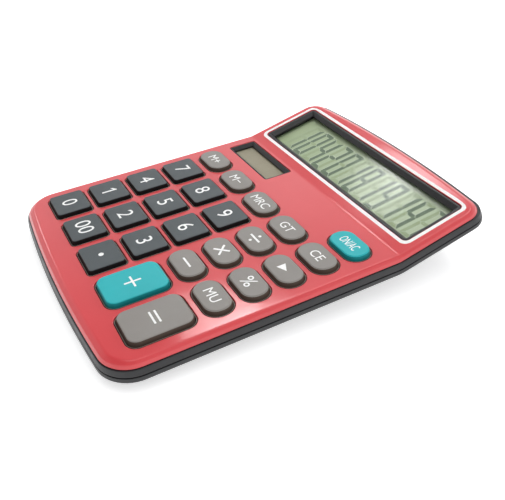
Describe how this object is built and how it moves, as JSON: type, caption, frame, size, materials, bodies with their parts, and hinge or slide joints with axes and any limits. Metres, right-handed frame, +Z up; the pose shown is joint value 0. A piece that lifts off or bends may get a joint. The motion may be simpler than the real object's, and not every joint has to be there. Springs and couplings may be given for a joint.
{
  "type": "desktop calculator",
  "caption": "Desktop calculator with a sloping display panel, solar cell, sprung keys, folded two-part case and a battery bay under a sliding door.",
  "frame": {"origin": "on the table, under the middle of the calculator's overall box", "axes": "+X to the user's right, +Y away from the user towards the display, +Z up"},
  "size_m": [0.1156, 0.1548, 0.0272],
  "materials": {
    "faceplate_red": "glossy painted plastic, coral red",
    "case_black": "fine satin moulded plastic",
    "bezel_black": "smooth semi-gloss moulded plastic",
    "clear_window": "clear polished acrylic",
    "lcd": "grey-green liquid crystal glass",
    "reflector": "matt reflector film",
    "flex": "copper-coloured flexible strip",
    "solar": "amorphous silicon cell under glass",
    "silicone": "translucent grey silicone rubber",
    "board": "green solder mask",
    "chip": "black resin blob",
    "capacitor_sleeve": "shrink sleeve",
    "battery_label": "plain printed sleeve",
    "plated_steel": "plated spring steel",
    "screw_steel": "zinc-plated steel",
    "foot_rubber": "matt rubber",
    "wire_red": "insulated wire",
    "wire_black": "insulated wire",
    "key_charcoal": "fine matt moulded plastic, dark grey",
    "key_grey": "fine matt moulded plastic, warm grey",
    "key_teal": "fine matt moulded plastic, teal"
  },
  "bodies": {
    "case": {"faceplate": "faceplate_red", "upper_case": "case_black", "key_guide": "case_black", "lower_case": "case_black", "display_bezel": "bezel_black", "display_lens": "clear_window", "lcd_glass": "lcd", "lcd_reflector": "reflector", "lcd_connector": "flex", "solar_bezel": "bezel_black", "solar_cell": "solar", "key_membrane": "silicone", "main_board": "board", "driver_chip": "chip", "capacitor": "capacitor_sleeve", "battery": "battery_label", "contact_plus": "plated_steel", "contact_spring": "plated_steel", "case_screw_front_left": "screw_steel", "case_screw_front_right": "screw_steel", "case_screw_rear_left": "screw_steel", "case_screw_rear_right": "screw_steel", "foot_front_left": "foot_rubber", "foot_front_right": "foot_rubber", "foot_rear_left": "foot_rubber", "foot_rear_right": "foot_rubber", "solar_wire_red": "wire_red", "solar_wire_black": "wire_black", "battery_wire_red": "wire_red", "battery_wire_black": "wire_black"},
    "key_0": {"key_0": "key_charcoal"},
    "key_00": {"key_00": "key_charcoal"},
    "key_point": {"key_point": "key_charcoal"},
    "key_1": {"key_1": "key_charcoal"},
    "key_2": {"key_2": "key_charcoal"},
    "key_3": {"key_3": "key_charcoal"},
    "key_4": {"key_4": "key_charcoal"},
    "key_5": {"key_5": "key_charcoal"},
    "key_6": {"key_6": "key_charcoal"},
    "key_7": {"key_7": "key_charcoal"},
    "key_8": {"key_8": "key_charcoal"},
    "key_9": {"key_9": "key_charcoal"},
    "key_plus": {"key_plus": "key_teal"},
    "key_equals": {"key_equals": "key_grey"},
    "key_minus": {"key_minus": "key_grey"},
    "key_markup": {"key_markup": "key_grey"},
    "key_multiply": {"key_multiply": "key_grey"},
    "key_percent": {"key_percent": "key_grey"},
    "key_divide": {"key_divide": "key_grey"},
    "key_backspace": {"key_backspace": "key_grey"},
    "key_memory_plus": {"key_memory_plus": "key_grey"},
    "key_memory_minus": {"key_memory_minus": "key_grey"},
    "key_memory_recall": {"key_memory_recall": "key_grey"},
    "key_grand_total": {"key_grand_total": "key_grey"},
    "key_clear_entry": {"key_clear_entry": "key_grey"},
    "key_on_clear": {"key_on_clear": "key_teal"},
    "battery_door": {"battery_door": "case_black"}
  },
  "joints": [
    {"name": "key_0_press", "type": "slide", "parent": "case", "child": "key_0", "axis": [0, -0.0523, 0.9986], "range_m": [-0.0012, 0], "stiffness_N_per_m": 350},
    {"name": "key_00_press", "type": "slide", "parent": "case", "child": "key_00", "axis": [0, -0.0523, 0.9986], "range_m": [-0.0012, 0], "stiffness_N_per_m": 350},
    {"name": "key_point_press", "type": "slide", "parent": "case", "child": "key_point", "axis": [0, -0.0523, 0.9986], "range_m": [-0.0012, 0], "stiffness_N_per_m": 350},
    {"name": "key_1_press", "type": "slide", "parent": "case", "child": "key_1", "axis": [0, -0.0523, 0.9986], "range_m": [-0.0012, 0], "stiffness_N_per_m": 350},
    {"name": "key_2_press", "type": "slide", "parent": "case", "child": "key_2", "axis": [0, -0.0523, 0.9986], "range_m": [-0.0012, 0], "stiffness_N_per_m": 350},
    {"name": "key_3_press", "type": "slide", "parent": "case", "child": "key_3", "axis": [0, -0.0523, 0.9986], "range_m": [-0.0012, 0], "stiffness_N_per_m": 350},
    {"name": "key_4_press", "type": "slide", "parent": "case", "child": "key_4", "axis": [0, -0.0523, 0.9986], "range_m": [-0.0012, 0], "stiffness_N_per_m": 350},
    {"name": "key_5_press", "type": "slide", "parent": "case", "child": "key_5", "axis": [0, -0.0523, 0.9986], "range_m": [-0.0012, 0], "stiffness_N_per_m": 350},
    {"name": "key_6_press", "type": "slide", "parent": "case", "child": "key_6", "axis": [0, -0.0523, 0.9986], "range_m": [-0.0012, 0], "stiffness_N_per_m": 350},
    {"name": "key_7_press", "type": "slide", "parent": "case", "child": "key_7", "axis": [0, -0.0523, 0.9986], "range_m": [-0.0012, 0], "stiffness_N_per_m": 350},
    {"name": "key_8_press", "type": "slide", "parent": "case", "child": "key_8", "axis": [0, -0.0523, 0.9986], "range_m": [-0.0012, 0], "stiffness_N_per_m": 350},
    {"name": "key_9_press", "type": "slide", "parent": "case", "child": "key_9", "axis": [0, -0.0523, 0.9986], "range_m": [-0.0012, 0], "stiffness_N_per_m": 350},
    {"name": "key_plus_press", "type": "slide", "parent": "case", "child": "key_plus", "axis": [0, -0.0523, 0.9986], "range_m": [-0.0012, 0], "stiffness_N_per_m": 350},
    {"name": "key_equals_press", "type": "slide", "parent": "case", "child": "key_equals", "axis": [0, -0.0523, 0.9986], "range_m": [-0.0012, 0], "stiffness_N_per_m": 350},
    {"name": "key_minus_press", "type": "slide", "parent": "case", "child": "key_minus", "axis": [0, -0.0523, 0.9986], "range_m": [-0.0012, 0], "stiffness_N_per_m": 350},
    {"name": "key_markup_press", "type": "slide", "parent": "case", "child": "key_markup", "axis": [0, -0.0523, 0.9986], "range_m": [-0.0012, 0], "stiffness_N_per_m": 350},
    {"name": "key_multiply_press", "type": "slide", "parent": "case", "child": "key_multiply", "axis": [0, -0.0523, 0.9986], "range_m": [-0.0012, 0], "stiffness_N_per_m": 350},
    {"name": "key_percent_press", "type": "slide", "parent": "case", "child": "key_percent", "axis": [0, -0.0523, 0.9986], "range_m": [-0.0012, 0], "stiffness_N_per_m": 350},
    {"name": "key_divide_press", "type": "slide", "parent": "case", "child": "key_divide", "axis": [0, -0.0523, 0.9986], "range_m": [-0.0012, 0], "stiffness_N_per_m": 350},
    {"name": "key_backspace_press", "type": "slide", "parent": "case", "child": "key_backspace", "axis": [0, -0.0523, 0.9986], "range_m": [-0.0012, 0], "stiffness_N_per_m": 350},
    {"name": "key_memory_plus_press", "type": "slide", "parent": "case", "child": "key_memory_plus", "axis": [0, -0.0523, 0.9986], "range_m": [-0.0012, 0], "stiffness_N_per_m": 350},
    {"name": "key_memory_minus_press", "type": "slide", "parent": "case", "child": "key_memory_minus", "axis": [0, -0.0523, 0.9986], "range_m": [-0.0012, 0], "stiffness_N_per_m": 350},
    {"name": "key_memory_recall_press", "type": "slide", "parent": "case", "child": "key_memory_recall", "axis": [0, -0.0523, 0.9986], "range_m": [-0.0012, 0], "stiffness_N_per_m": 350},
    {"name": "key_grand_total_press", "type": "slide", "parent": "case", "child": "key_grand_total", "axis": [0, -0.0523, 0.9986], "range_m": [-0.0012, 0], "stiffness_N_per_m": 350},
    {"name": "key_clear_entry_press", "type": "slide", "parent": "case", "child": "key_clear_entry", "axis": [0, -0.0523, 0.9986], "range_m": [-0.0012, 0], "stiffness_N_per_m": 350},
    {"name": "key_on_clear_press", "type": "slide", "parent": "case", "child": "key_on_clear", "axis": [0, -0.0523, 0.9986], "range_m": [-0.0012, 0], "stiffness_N_per_m": 350},
    {"name": "battery_door_slide", "type": "slide", "parent": "case", "child": "battery_door", "axis": [0, 1, 0], "range_m": [0, 0.012]}
  ]
}
